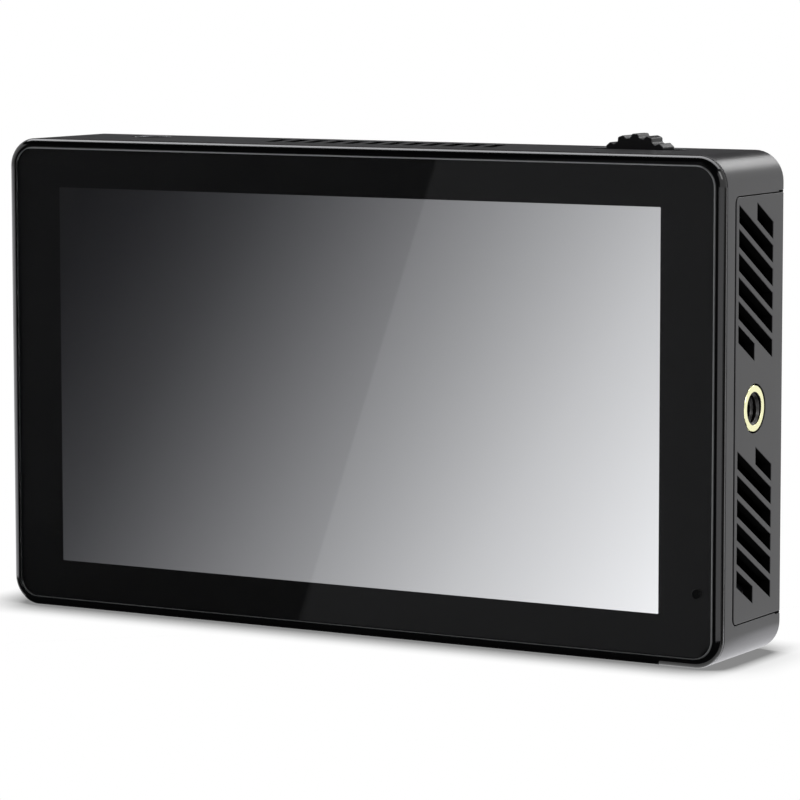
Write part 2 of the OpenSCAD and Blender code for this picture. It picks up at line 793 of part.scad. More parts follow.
module housing() {
  profile = [
    [edge_break, case_y], [0, case_y + edge_break], [0, back_y - edge_break], [edge_break, back_y]
  ];
  notch_z = panel_h / 2;
  boss_top = insert_l + slip + boss_end;
  color([0.33, 0.33, 0.35]) difference() {
    union() {
      difference() {
        edged_ring(case_w, case_h, case_r, profile);
        plate(inner_w, inner_h, inner_r, case_y - over, back_y + over);
      }
      translate([0, bottom_insert_y, wall / 2]) cylinder(r = boss_r, h = boss_top - wall / 2);
    }
    for (side = [-1, 1]) {
      x = side * (inner_x + wall / 2);
      across(x - wall, x + wall) panel_outline(seam);
      for (up = [-1, 1]) translate([x, back_y, mid_z + up * notch_z])
        cube([2 * wall, 2 * notch_l, 2 * notch_h], center = true);
    }
    translate([0, bottom_insert_y, -over]) cylinder(r = insert_r + run, h = insert_l + slip + over);
    translate([0, bottom_insert_y, -over]) cylinder(r = insert_r + insert_groove, h = insert_groove_d + over);
    translate([button_x, controls_y, inner_top - over]) cylinder(r = button_hole_r, h = wall + 2 * over);
    translate([button_x, controls_y, case_h - button_chamfer])
      cylinder(r1 = button_hole_r, r2 = button_hole_r + 2 * button_chamfer, h = 2 * button_chamfer);
    wheel_slot(wheel_x, controls_y);
    top_vent_slots();
  }
}

// The holes of the cover screws, from depth y0 to depth y1
module cover_screw_holes(y0, y1) {
  for (p = cover_holes) rod_y(p[0], p[1], screw_hole_r + slip, y0, y1);
}

module back_cover() {
  color([0.33, 0.33, 0.35]) difference() {
    plate(inner_w - 2 * seam, inner_h - 2 * seam, inner_r - seam, cover_inner_y, back_y);
    plate(plate_w + 2 * slip, plate_h + 2 * slip, plate_r + slip, cover_inner_y - over, back_y + over);
    cover_screw_holes(cover_inner_y - over, back_y + over);
    for (p = cover_holes) rod_y(p[0], p[1], screw_head_r + slip, back_y - screw_head_t - slip, back_y + over);
  }
}

// A side panel without its openings: the panel and the two feet that the cover screws clamp
module bare_side_panel(side) {
  outer_x = side * case_w / 2;
  difference() {
    union() {
      intersection() {
        across(outer_x - wall, outer_x + wall) panel_outline(0);
        block([-case_w / 2, case_y, 0], [case_w / 2, back_y, case_h]);
        translate([side * inner_x, case_y, 0]) mirror([side < 0 ? 1 : 0, 0, 0]) cube([wall, case_d, case_h]);
      }
      for (up = [-1, 1]) translate([side * (inner_x - foot_w / 2 + over / 2), foot_y + foot_t / 2,
        mid_z + up * (panel_h - foot_h) / 2]) cube([foot_w + over, foot_t, foot_h], center = true);
    }
    cover_screw_holes(foot_y - over, cover_inner_y + over);
    translate([outer_x, back_y, mid_z]) rotate([0, 0, 45])
      cube([edge_break * sqrt(2), edge_break * sqrt(2), case_h], center = true);
  }
}

module side_panel_right() {
  boss_in = insert_l + slip + boss_end - wall;
  outer_x = case_w / 2;
  color([0.33, 0.33, 0.35]) difference() {
    union() {
      bare_side_panel(1);
      rod_x(side_insert_y, mid_z, boss_r, inner_x - boss_in, inner_x + wall / 2);
    }
    // Seat of the side insert, with the shadow gap round its face
    rod_x(side_insert_y, mid_z, insert_r + run, outer_x - slip - insert_l, outer_x + over);
    rod_x(side_insert_y, mid_z, insert_r + insert_groove, outer_x - insert_groove_d, outer_x + over);
    across(inner_x - over, outer_x + over) {
      vent_group(vent_top_z);
      vent_group(vent_top_z - vent_group_h - vent_group_gap);
    }
  }
}

module side_panel_left() {
  color([0.33, 0.33, 0.35]) difference() {
    bare_side_panel(-1);
    across(-case_w / 2 - over, -inner_x + over) {
      for (z = [video_in_z, video_out_z]) video_outline(z, -mouth_gap);
      translate([phone_y, phone_z]) circle(phone_nose_r + mouth_gap);
      translate([power_y, power_z]) circle(power_nose_r + mouth_gap);
    }
  }
}

module cover_posts() {
  color([0.8, 0.75, 0.5]) for (p = cover_holes) difference() {
    rod_y(p[0], p[1], cover_post_r, chassis_back, foot_y);
    rod_y(p[0], p[1], screw_hole_r, foot_y - cover_screw_l, foot_y + over);
  }
}

module cover_screws() {
  color([0.05, 0.05, 0.05]) for (p = cover_holes)
    screw(p[0], p[1], back_y - screw_head_t - slip, cover_screw_l);
}

// A brass insert that stands along Z, with its face at the origin and its body below
module brass_insert() {
  mouth_d = thread_mouth_r - thread_r;
  color([0.85, 0.7, 0.35]) difference() {
    translate([0, 0, -insert_l]) cylinder(r = insert_r, h = insert_l);
    translate([0, 0, -insert_l - over]) cylinder(r = thread_r, h = insert_l + 2 * over);
    translate([0, 0, -mouth_d]) cylinder(r1 = thread_r, r2 = thread_mouth_r + mouth_d, h = 2 * mouth_d);
  }
}

module side_insert() {
  translate([case_w / 2 - slip, side_insert_y, mid_z]) rotate([0, 90, 0]) brass_insert();
}

module bottom_insert() {
  translate([0, bottom_insert_y, slip]) rotate([180, 0, 0]) brass_insert();
}

module power_button() {
  button_dish = 0.3;
  dish_r = (button_r * button_r / button_dish + button_dish) / 2;
  color([0.1, 0.1, 0.11]) translate([button_x, controls_y, 0]) difference() {
    union() {
      translate([0, 0, button_bottom]) cylinder(r = button_flange_r, h = button_flange_t);
      translate([0, 0, button_bottom]) cylinder(r = button_r, h = button_top - button_bottom);
    }
    translate([0, 0, button_top - button_dish + dish_r]) sphere(r = dish_r, $fn = 96);
  }
}

// A tact switch that stands on a board whose top is at the given height
module tact_switch(x, board_top) {
  color([0.15, 0.15, 0.16]) translate([x, controls_y, board_top]) {
    translate([-switch_w / 2, -switch_w / 2, 0]) cube([switch_w, switch_w, switch_h]);
    cylinder(r = stem_r, h = switch_h + stem_h);
  }
}

module power_switch() {
  tact_switch(button_x, key_board_top);
}

module select_switch() {
  tact_switch(wheel_x, wheel_board_top);
}

module key_board() {
  color([0.05, 0.25, 0.12]) block(
    [button_x - key_board_w / 2, controls_y - small_board_d / 2, key_shelf_top],
    [button_x + key_board_w / 2, controls_y + small_board_d / 2, key_board_top]
  );
}

module wheel_board() {
  color([0.05, 0.25, 0.12]) difference() {
    block([wheel_x - carrier_l / 2, controls_y - small_board_d / 2, wheel_shelf_top],
      [wheel_x + carrier_l / 2, controls_y + small_board_d / 2, wheel_board_top]);
    for (side = [-1, 1]) translate([wheel_x + side * guide_x, controls_y, wheel_shelf_top - over])
      cylinder(r = guide_r + run, h = small_board_t + 2 * over);
  }
}

module scroll_wheel() {
  root_r = wheel_r - tooth_h;
  pitch = 360 / wheel_teeth;
  tip = asin(tooth_tip_w / 2 / wheel_r);
  root = asin(tooth_root_w / 2 / root_r);
  corners = [[-root, root_r], [-tip, wheel_r], [tip, wheel_r], [root, root_r]];
  outline = [
    for (i = [0 : wheel_teeth - 1], corner = corners)
      let (a = 90 + tooth_phase + i * pitch + corner[0]) corner[1] * [cos(a), sin(a)]
  ];
  color([0.09, 0.09, 0.1]) difference() {
    translate([wheel_x, wheel_back, axle_z]) rotate([90, 0, 0]) linear_extrude(wheel_t) polygon(outline);
    rod_y(wheel_x, axle_z, axle_r, wheel_front - over, wheel_back + over);
  }
}

module wheel_axle() {
  color([0.75, 0.75, 0.78]) rod_y(wheel_x, axle_z, axle_r, carrier_front - axle_in_encoder, carrier_back);
}

module wheel_carrier() {
  color([0.2, 0.2, 0.22]) difference() {
    union() {
      block([wheel_x - carrier_l / 2, carrier_front, carrier_bottom],
        [wheel_x + carrier_l / 2, carrier_back, carrier_top]);
      for (y = [carrier_front, carrier_back - ear_t]) {
        block([wheel_x - ear_r, y, carrier_bottom], [wheel_x + ear_r, y + ear_t, axle_z]);
        rod_y(wheel_x, axle_z, ear_r, y, y + ear_t);
      }
      for (side = [-1, 1]) translate([wheel_x + side * guide_x, controls_y, wheel_shelf_top + play])
        cylinder(r = guide_r, h = carrier_top - wheel_shelf_top - play);
    }
    rod_y(wheel_x, axle_z, axle_r + run, carrier_front - over, carrier_back + over);
  }
}

module wheel_encoder() {
  half = encoder_w / 2;
  color([0.15, 0.35, 0.2]) difference() {
    block([wheel_x - half, encoder_front, axle_z - half], [wheel_x + half, carrier_front, axle_z + half]);
    rod_y(wheel_x, axle_z, axle_r + run, carrier_front - axle_in_encoder - play, carrier_front + over);
  }
}

module battery_plate() {
  block_w = contact_block_w;
  color([0.06, 0.06, 0.06]) {
    difference() {
      union() {
        plate(plate_w, plate_h, plate_r, plate_front, back_y);
        plate(plate_w + 2 * flange_w, plate_h + 2 * flange_w, plate_r,
          cover_inner_y - flange_t, cover_inner_y);
      }
      plate(pocket_w, pocket_h, plate_r / 2, pocket_y, back_y + over);
      block([latch_x - latch_w / 2 - play, plate_front - over, latch_z - latch_w / 2 - play],
        [latch_x + latch_w / 2 + play, pocket_y + over, latch_z + latch_w / 2 + play]);
    }
    for (side = [-1, 1], up = [-1, 1]) {
      x = side * (pocket_w / 2 - hook_reach / 2 + over / 2);
      z = mid_z + up * hook_pitch / 2;
      translate([x, back_y - hook_t / 2, z]) cube([hook_reach + over, hook_t, hook_l], center = true);
    }
    block([-block_w / 2, plate_front, pocket_bottom - over], [block_w / 2, back_y - flange_t,
      pocket_bottom + contact_block_h]);
  }
}

module battery_contacts() {
  foot = pocket_bottom + contact_block_h;
  color([0.85, 0.7, 0.35]) for (i = [-1 : 1]) block(
    [i * blade_pitch - blade_t / 2, pocket_y, foot],
    [i * blade_pitch + blade_t / 2, pocket_y + blade_d, foot + blade_l]
  );
}

module battery_latch() {
  half = latch_w / 2;
  wide = half + latch_flange;
  color([0.1, 0.1, 0.1]) {
    block([latch_x - half, plate_front - flange_t, latch_z - half], [latch_x + half, pocket_y + latch_rise,
      latch_z + half]);
    block([latch_x - wide, plate_front - flange_t, latch_z - wide], [latch_x + wide, plate_front,
      latch_z + wide]);
  }
}

cover_glass();
glass_adhesive();
front_bezel();
light_sensor();
display_panel();
backlight_unit();
display_cable();
chassis();
main_board();
board_standoffs();
board_screws();
processor();
heat_sink();
hdmi_input();
hdmi_output();
headphone_jack();
dc_jack();
housing();
back_cover();
side_panel_right();
side_panel_left();
cover_posts();
cover_screws();
side_insert();
bottom_insert();
power_button();
power_switch();
key_board();
scroll_wheel();
wheel_axle();
wheel_carrier();
wheel_encoder();
select_switch();
wheel_board();
battery_plate();
battery_contacts();
battery_latch();
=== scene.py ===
import json
import math

import bmesh
import bpy
from mathutils import Matrix, Vector

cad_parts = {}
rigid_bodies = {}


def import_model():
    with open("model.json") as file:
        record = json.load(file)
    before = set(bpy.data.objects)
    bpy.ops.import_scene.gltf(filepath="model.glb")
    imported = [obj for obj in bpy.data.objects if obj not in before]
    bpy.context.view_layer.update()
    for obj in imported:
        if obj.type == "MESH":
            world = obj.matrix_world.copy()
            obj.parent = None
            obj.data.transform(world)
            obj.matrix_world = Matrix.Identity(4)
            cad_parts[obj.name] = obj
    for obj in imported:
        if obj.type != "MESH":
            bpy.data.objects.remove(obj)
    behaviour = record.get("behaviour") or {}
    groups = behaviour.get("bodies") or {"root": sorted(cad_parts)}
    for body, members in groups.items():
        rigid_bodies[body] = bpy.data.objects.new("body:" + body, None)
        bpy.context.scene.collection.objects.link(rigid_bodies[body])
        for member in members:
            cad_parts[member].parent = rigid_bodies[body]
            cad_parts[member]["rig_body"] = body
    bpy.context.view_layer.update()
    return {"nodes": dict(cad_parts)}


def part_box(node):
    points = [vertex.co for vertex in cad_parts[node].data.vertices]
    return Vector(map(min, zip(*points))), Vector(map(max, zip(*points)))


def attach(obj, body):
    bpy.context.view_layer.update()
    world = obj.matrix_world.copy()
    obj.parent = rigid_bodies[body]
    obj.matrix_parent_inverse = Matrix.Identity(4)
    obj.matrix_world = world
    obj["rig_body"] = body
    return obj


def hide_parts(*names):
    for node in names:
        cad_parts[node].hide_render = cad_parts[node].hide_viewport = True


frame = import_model()
nodes = frame["nodes"]
mm = 0.001

# Node trees ---------------------------------------------------------------------------------------


def add(tree, kind, inputs=None, **settings):
    """A node with its settings, and its inputs set to values or joined to sockets."""
    made = tree.nodes.new(kind)
    for key, value in settings.items():
        setattr(made, key, value)
    for key, value in (inputs or {}).items():
        if isinstance(value, bpy.types.NodeSocket):
            tree.links.new(value, made.inputs[key])
        else:
            made.inputs[key].default_value = value
    return made


def here(tree):
    """Object coordinates, which are metres in the part's frame."""
    return add(tree, "ShaderNodeTexCoord").outputs["Object"]


def axes(tree):
    """The X, Y and Z sockets of the object coordinates."""
    return add(tree, "ShaderNodeSeparateXYZ", {"Vector": here(tree)}).outputs


def place(tree, scale=(1, 1, 1), turn=(0, 0, 0)):
    """Object coordinates, scaled and turned."""
    made = add(tree, "ShaderNodeMapping", {"Vector": here(tree), "Scale": scale, "Rotation": turn})
    return made.outputs["Vector"]


def noise(tree, where, scale, detail=3.0, rough=0.55):
    inputs = {"Vector": where, "Scale": scale, "Detail": detail, "Roughness": rough}
    return add(tree, "ShaderNodeTexNoise", inputs).outputs["Fac"]


def ramp(tree, fac, stops):
    """A colour ramp through (place, colour) stops."""
    made = add(tree, "ShaderNodeValToRGB", {"Fac": fac})
    points = made.color_ramp.elements
    while len(points) < len(stops):
        points.new(0.5)
    for point, (at, colour) in zip(points, stops):
        point.position = at
        point.color = (*colour, 1.0)
    return made.outputs["Color"]


def spread(tree, fac, low, high, out_low=0.0, out_high=1.0):
    """Takes fac from low..high to out_low..out_high, and stops at the ends."""
    inputs = {"Value": fac, "From Min": low, "From Max": high, "To Min": out_low, "To Max": out_high}
    return add(tree, "ShaderNodeMapRange", inputs).outputs["Result"]


def maths(tree, operation, a, b=0.0):
    made = add(tree, "ShaderNodeMath", {0: a, 1: b}, operation=operation)
    return made.outputs["Value"]


def mix(tree, fac, one, two, kind="RGBA", blend="MIX"):
    """Two colours or numbers mixed; each is a value or a socket."""
    first, second, out = (6, 7, 2) if kind == "RGBA" else (2, 3, 0)
    made = add(tree, "ShaderNodeMix", {0: fac}, data_type=kind, blend_type=blend)
    for at, value in ((first, one), (second, two)):
        if isinstance(value, bpy.types.NodeSocket):
            tree.links.new(value, made.inputs[at])
        else:
            made.inputs[at].default_value = value
    return made.outputs[out]


def shade(colour, by):
    return tuple(min(1.0, c * by) for c in colour)


def grey(tone):
    return (tone, tone, tone)


def new_look(name, **sockets):
    """A Principled material. Socket names are written with underscores."""
    made = bpy.data.materials.new(name)
    made.use_nodes = True
    shader = made.node_tree.nodes["Principled BSDF"]
    for key, value in sockets.items():
        shader.inputs[key.replace("_", " ")].default_value = value
    return made, made.node_tree, shader


def bump(tree, shader, height, strength, distance):
    made = add(tree, "ShaderNodeBump", {"Height": height, "Strength": strength, "Distance": distance})
    tree.links.new(made.outputs["Normal"], shader.inputs["Normal"])


def grained(
    name, colour, rough, grain=0.35 * mm, depth=0.02 * mm, strength=0.25, vary=0.12, scuff=0.08, **sockets
):
    """Moulded or sprayed surface: fine grain, slow changes of tone, and uneven gloss.

    vary is the change of tone and scuff the change of roughness, from end to end.
    """
    made, tree, shader = new_look(name, **sockets)
    where = place(tree)
    fine = noise(tree, where, 1.0 / grain, 4.0)
    slow = noise(tree, where, 38.0, 2.0)
    both = maths(tree, "ADD", maths(tree, "MULTIPLY", fine, 0.55), maths(tree, "MULTIPLY", slow, 0.45))
    tone = ramp(tree, both, [(0.32, shade(colour, 1 - vary)), (0.68, shade(colour, 1 + vary))])
    gloss = spread(tree, both, 0.3, 0.7, rough - scuff / 2, rough + scuff / 2)
    tree.links.new(tone, shader.inputs["Base Color"])
    tree.links.new(gloss, shader.inputs["Roughness"])
    bump(tree, shader, fine, strength, depth)
    return made


def brushed(name, colour, rough, stretch=(1, 40, 1), line=0.12 * mm):
    """Rolled or drawn metal. Its lines run across the axis that stretch multiplies."""
    made, tree, shader = new_look(name, Metallic=1.0)
    lines = noise(tree, place(tree, stretch), 1.0 / (line * max(stretch)), 5.0, 0.7)
    cloud = noise(tree, place(tree), 90.0, 2.0)
    tone = ramp(tree, lines, [(0.3, shade(colour, 0.86)), (0.7, shade(colour, 1.12))])
    tree.links.new(tone, shader.inputs["Base Color"])
    tree.links.new(spread(tree, cloud, 0.3, 0.7, rough - 0.06, rough + 0.06), shader.inputs["Roughness"])
    bump(tree, shader, lines, 0.12, 0.02 * mm)
    return made


def turned(name, colour, rough, centre, across, pitch=0.09 * mm):
    """Metal from a lathe: fine rings round an axis through centre. across is 0 along it, and else 1."""
    made, tree, shader = new_look(name, Metallic=1.0)
    where = here(tree)
    off = add(tree, "ShaderNodeVectorMath", {0: where, 1: centre}, operation="SUBTRACT").outputs["Vector"]
    flat = add(tree, "ShaderNodeVectorMath", {0: off, 1: across}, operation="MULTIPLY").outputs["Vector"]
    away = add(tree, "ShaderNodeVectorMath", {0: flat}, operation="LENGTH").outputs["Value"]
    wobble = noise(tree, where, 900.0, 2.0)
    turns = maths(tree, "MULTIPLY", away, 2 * math.pi / pitch)
    phase = maths(tree, "ADD", turns, maths(tree, "MULTIPLY", wobble, 2.5))
    rings = spread(tree, maths(tree, "SINE", phase), -1, 1)
    tone = ramp(tree, rings, [(0.0, shade(colour, 0.9)), (1.0, shade(colour, 1.08))])
    tree.links.new(tone, shader.inputs["Base Color"])
    tree.links.new(spread(tree, wobble, 0.3, 0.7, rough - 0.05, rough + 0.05), shader.inputs["Roughness"])
    bump(tree, shader, rings, 0.1, 0.01 * mm)
    return made


def painted_shade_inside(made, half_x, high_z, r, front, rear):
    """Leaves the paint on the outside of a rounded box, and paints its slots, holes and seams near black,
    as painted shade.

    The box runs from -half_x to half_x, 0 to high_z and front to rear, with corners of radius r.
    A point deeper than the skin gets the painted shade. The skin is thicker near the front and back edges.
    """
    edge_skin, skin, fade = 0.3 * mm, 0.06 * mm, 0.08 * mm
    tree = made.node_tree
    shader = tree.nodes["Principled BSDF"]
    at = axes(tree)
    qx = maths(tree, "SUBTRACT", maths(tree, "ABSOLUTE", at["X"]), half_x - r)
    mid = maths(tree, "ABSOLUTE", maths(tree, "SUBTRACT", at["Z"], high_z / 2))
    qz = maths(tree, "SUBTRACT", mid, high_z / 2 - r)
    past = {"X": maths(tree, "MAXIMUM", qx, 0.0), "Y": maths(tree, "MAXIMUM", qz, 0.0)}
    past = add(tree, "ShaderNodeCombineXYZ", past).outputs["Vector"]
    corner = add(tree, "ShaderNodeVectorMath", {0: past}, operation="LENGTH").outputs["Value"]
    inner = maths(tree, "MINIMUM", maths(tree, "MAXIMUM", qx, qz), 0.0)
    depth = maths(tree, "SUBTRACT", maths(tree, "SUBTRACT", r, corner), inner)
    ends = maths(tree, "SUBTRACT", rear, at["Y"])
    ends = maths(tree, "MINIMUM", ends, maths(tree, "SUBTRACT", at["Y"], front))
    least = spread(tree, ends, 0.5 * mm, 0.6 * mm, edge_skin, skin)
    depth = maths(tree, "SUBTRACT", maths(tree, "MINIMUM", depth, ends), least)
    shade_mask = spread(tree, depth, 0.0, fade)
    # The painted shade: near black, rough and almost without gloss
    for name, value, kind in (
        ("Base Color", (0.002, 0.002, 0.002, 1), "RGBA"),
        ("Roughness", 0.8, "FLOAT"),
        ("Specular IOR Level", 0.05, "FLOAT"),
    ):
        socket = shader.inputs[name]
        painted = socket.links[0].from_socket if socket.links else socket.default_value
        tree.links.new(mix(tree, shade_mask, painted, value, kind), socket)
    return made


# Looks --------------------------------------------------------------------------------------------


case_r = 5.7 * mm
body_low, body_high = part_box("housing")
outside = (body_high.x, body_high.z, case_r, body_low.y - mm, body_high.y)
paint_grey = (0.03, 0.0293, 0.0325)
case_paint = grained("case_paint", paint_grey, 0.32, strength=0.2, Specular_IOR_Level=0.44)
cover_paint = grained("cover_paint", paint_grey, 0.34, strength=0.26, Specular_IOR_Level=0.44)
# Both paints get painted shade in the case's slots, holes and seams
for paint in (case_paint, cover_paint):
    painted_shade_inside(paint, *outside)
lip_gloss = grained(
    "lip_gloss", (0.001, 0.001, 0.0012), 0.12,
    grain=1.2 * mm, depth=0.003 * mm, strength=0.04, vary=0.2, scuff=0.03,
)
cap_black = grained(
    "cap_black", (0.004, 0.004, 0.0045), 0.2,
    grain=0.8 * mm, depth=0.005 * mm, strength=0.08, Specular_IOR_Level=0.08,
)
rim_look = grained(
    "rim_polish", (0.1, 0.1, 0.105), 0.16, grain=0.5 * mm, depth=0.004 * mm, strength=0.05, Metallic=0.7
)
lens_look = grained(
    "sensor_lens", (0.002, 0.002, 0.0022), 0.25,
    grain=0.6 * mm, depth=0.004 * mm, strength=0.05, Specular_IOR_Level=0.35,
)
control_black = grained("control_black", (0.016, 0.016, 0.017), 0.42, strength=0.2, Specular_IOR_Level=0.3)
plate_black = grained("plate_black", (0.018, 0.018, 0.019), 0.5, grain=0.5 * mm, strength=0.35)
moulded_black = grained("moulded_black", (0.012, 0.012, 0.012), 0.55, grain=0.4 * mm, strength=0.3)
screw_black = grained("screw_black", (0.02, 0.02, 0.022), 0.3, grain=0.2 * mm, strength=0.15, Metallic=0.8)
# Near black and matt: painted shade for the seam notches
notch_shade_black = grained("notch_shade_black", grey(0.002), 0.9, grain=0.3 * mm, strength=0.3, Specular_IOR_Level=0.05)
# The thread's bore is coloured near black, as painted shade inside the hole
bore_painted_shade = grained("bore_painted_shade", (0.006, 0.0045, 0.003), 0.3, grain=0.6 * mm, strength=0.1)
chip_black = grained("chip_black", (0.02, 0.02, 0.022), 0.45, grain=0.3 * mm, strength=0.2)
# The side insert's brass is paler and lighter than the bottom insert's, a lit copy of the same brass:
# painted highlight
brass_side_lit = turned("insert_brass", (0.96, 0.93, 0.56), 0.16, (78.7 * mm, 0.9 * mm, 46.9 * mm), (0, 1, 1))
brass_up = turned("insert_brass_up", (0.9, 0.78, 0.42), 0.2, (0, 0.75 * mm, 0), (1, 1, 0))
chassis_metal = brushed("chassis_metal", (0.42, 0.43, 0.45), 0.36)
socket_steel = brushed("socket_steel", (0.62, 0.62, 0.64), 0.24, (40, 1, 1))
sink_metal = brushed("sink_metal", (0.35, 0.36, 0.38), 0.42, (40, 1, 1))
contact_brass = brushed("contact_brass", (0.83, 0.62, 0.3), 0.22, (1, 1, 40))

# Meshes -------------------------------------------------------------------------------------------


def finish_mesh(b, name, looks, smooth=True):
    """Turns a bmesh into an object with its looks."""
    bmesh.ops.recalc_face_normals(b, faces=b.faces)
    mesh = bpy.data.meshes.new(name)
    b.to_mesh(mesh)
    b.free()
    for look in looks:
        mesh.materials.append(look)
    mesh.polygons.foreach_set("use_smooth", [smooth] * len(mesh.polygons))
    made = bpy.data.objects.new(name, mesh)
    bpy.context.scene.collection.objects.link(made)
    return made


def stand_for(piece, slot, body, *replaced):
    """Gives a piece its body, and hides the CAD nodes it stands for. Its slot is not used."""
    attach(piece, body)
    if replaced:
        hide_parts(*replaced)
    return piece


def circle(r, n, across=0.0, up=0.0):
    """n points round a circle."""
    turns = [2 * math.pi * i / n for i in range(n)]
    return [(across + r * math.cos(a), up + r * math.sin(a)) for a in turns]


def corners(hx, z0, z1, r, steps=14):
    """Points (x, z) round a rectangle with rounded corners, the same number for any size."""
    r = max(r, 0.02 * mm)
    centres = ((hx - r, z1 - r), (-hx + r, z1 - r), (-hx + r, z0 + r), (hx - r, z0 + r))
    points = []
    for (cx, cz), start in zip(centres, (0, 90, 180, 270)):
        for i in range(steps + 1):
            a = math.radians(start + 90 * i / steps)
            points.append((cx + r * math.cos(a), cz + r * math.sin(a)))
    return points


def loft(b, rings, looks=None, close=False):
    """Skins rings of points. looks gives the material of each band."""
    rows = [[b.verts.new(p) for p in ring] for ring in rings]
    bands = list(zip(rows, rows[1:])) + ([(rows[-1], rows[0])] if close else [])
    for k, (one, two) in enumerate(bands):
        for i in range(len(one)):
            j = (i + 1) % len(one)
            face = b.faces.new((one[i], one[j], two[j], two[i]))
            face.material_index = looks[k] if looks else 0
    return rows


def eased(node, name, slot, look, width, front_gap=0.0):
    """A copy of a CAD node as a clean mesh, with its edges rounded to width.

    front_gap moves its front edge back, and everything within fade of it by less.
    """
    b = bmesh.new()
    b.from_mesh(nodes[node].data)
    bmesh.ops.remove_doubles(b, verts=b.verts, dist=0.002 * mm)
    bmesh.ops.dissolve_limit(b, angle_limit=math.radians(0.5), verts=b.verts, edges=b.edges)
    front, fade = min(v.co.y for v in b.verts), 1.1 * mm
    if front_gap:
        for v in b.verts:
            v.co.y += front_gap * max(0.0, 1 - (v.co.y - front) / fade)
    for face in b.faces:
        face.material_index = 0
    piece = finish_mesh(b, name, [look])
    rounder = piece.modifiers.new("edges", "BEVEL")
    rounder.width = width
    rounder.segments = 2
    rounder.limit_method = "ANGLE"
    rounder.angle_limit = math.radians(28)
    rounder.use_clamp_overlap = False
    even = piece.modifiers.new("normals", "WEIGHTED_NORMAL")
    even.weight = 100
    return stand_for(piece, slot, nodes[node]["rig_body"], node)


def wear(look, *names):
    """Puts a look on carried-over CAD nodes."""
    for name in names:
        nodes[name].data.materials.clear()
        nodes[name].data.materials.append(look)


# Front: glass, print, lip and picture -------------------------------------------------------------

glass_low, glass_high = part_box("cover_glass")
glass_x = glass_high.x
front_y = glass_low.y
glass_back = glass_high.y
glass_r = 3.97 * mm
panel_low, panel_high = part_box("display_panel")
panel_rim = 2.5 * mm  # the panel's own rim, which the print hides
picture_x = panel_high.x - panel_rim
picture_low = panel_low.z + panel_rim
picture_high = panel_high.z - panel_rim
picture_mid = (picture_low + picture_high) / 2
picture_shift = -0.5 * mm  # the lit window sits a little left of the middle
sensor_low, sensor_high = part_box("light_sensor")
sensor_x = (sensor_low.x + sensor_high.x) / 2
sensor_z = (sensor_low.z + sensor_high.z) / 2
print_t = 0.02 * mm

# The edge of the reflection on the glass leans: x = glare_x + glare_slope * (z - picture_mid)
glare_x = 4.0 * mm
glare_slope = 0.34


def glass_ring(inset, y):
    r = max(glass_r - inset, 0.2 * mm)
    return [(x, y, z) for x, z in corners(glass_x - inset, glass_low.z + inset, glass_high.z - inset, r)]


glass_look, tree, shader = new_look(
    "cover_glass", Base_Color=(0.97, 0.98, 0.98, 1), Transmission_Weight=1.0, IOR=1.5, Roughness=0.0
)
smear = noise(tree, place(tree, (1, 1, 2.2)), 55.0, 3.0)
tree.links.new(spread(tree, smear, 0.45, 0.8, 0.0, 0.03), shader.inputs["Roughness"])

# The glass's ground edge has painted light: its grey is dimmed to a fifth at the left, as painted shade,
# and doubled along the top, as a painted highlight
ground_edge_painted_light = grained("ground_edge_painted_light", (0.36, 0.37, 0.37), 0.45, grain=0.15 * mm, strength=0.3)
tree = ground_edge_painted_light.node_tree
shader = tree.nodes["Principled BSDF"]
at = axes(tree)
left_x, top_z, fade = -76.95 * mm, 91.7 * mm, 0.15 * mm
left = spread(tree, at["X"], left_x, left_x + fade, 0.2, 1.0)
high = spread(tree, at["Z"], top_z, top_z + fade, 1.0, 2.0)
level = maths(tree, "MULTIPLY", left, high)
tone = shader.inputs["Base Color"].links[0].from_socket
painted_edge_light = add(tree, "ShaderNodeVectorMath", {0: tone, "Scale": level}, operation="SCALE").outputs["Vector"]
tree.links.new(painted_edge_light, shader.inputs["Base Color"])

b = bmesh.new()
edge, back_edge = 0.22 * mm, 0.088 * mm
behind = glass_back - 2 * print_t
rings = [
    glass_ring(back_edge, behind),
    glass_ring(0, behind - back_edge),
    glass_ring(0, front_y + edge),
    glass_ring(edge, front_y + 0.004 * mm),
]
rows = loft(b, rings, [1, 1, 1])
b.faces.new(rows[0])
b.faces.new(rows[-1])
glass = finish_mesh(b, "glass_pane", [glass_look, ground_edge_painted_light], smooth=False)
stand_for(glass, "cover_glass", "case", "cover_glass")

ink, tree, shader = new_look("glass_print", Roughness=0.5, Specular_IOR_Level=0.2)
speck = noise(tree, place(tree), 5200.0, 2.0)
inked = ramp(tree, speck, [(0.3, (0.0028, 0.0028, 0.003)), (0.75, (0.0042, 0.0042, 0.0046))])
tree.links.new(inked, shader.inputs["Base Color"])
bump(tree, shader, speck, 0.06, 0.004 * mm)


def print_sheet():
    """The black border under the glass: a thin ring with the picture's window and the sensor's hole."""
    b = bmesh.new()
    hole = circle(0.8 * mm, 40, sensor_x, sensor_z)
    inset = 0.3 * mm
    outer = corners(glass_x - inset, glass_low.z + inset, glass_high.z - inset, glass_r - inset)
    window = [(x + picture_shift, z) for x, z in corners(picture_x, picture_low, picture_high, 0.15 * mm)]
    loops = []
    for points in (outer, window, hole):
        verts = [b.verts.new((x, glass_back - print_t, z)) for x, z in points]
        loops += [b.edges.new((verts[i], verts[(i + 1) % len(verts)])) for i in range(len(verts))]
    bmesh.ops.triangle_fill(b, edges=loops, use_beauty=True)
    return finish_mesh(b, "glass_print", [ink], smooth=False)


stand_for(print_sheet(), "bezel_black", "case")

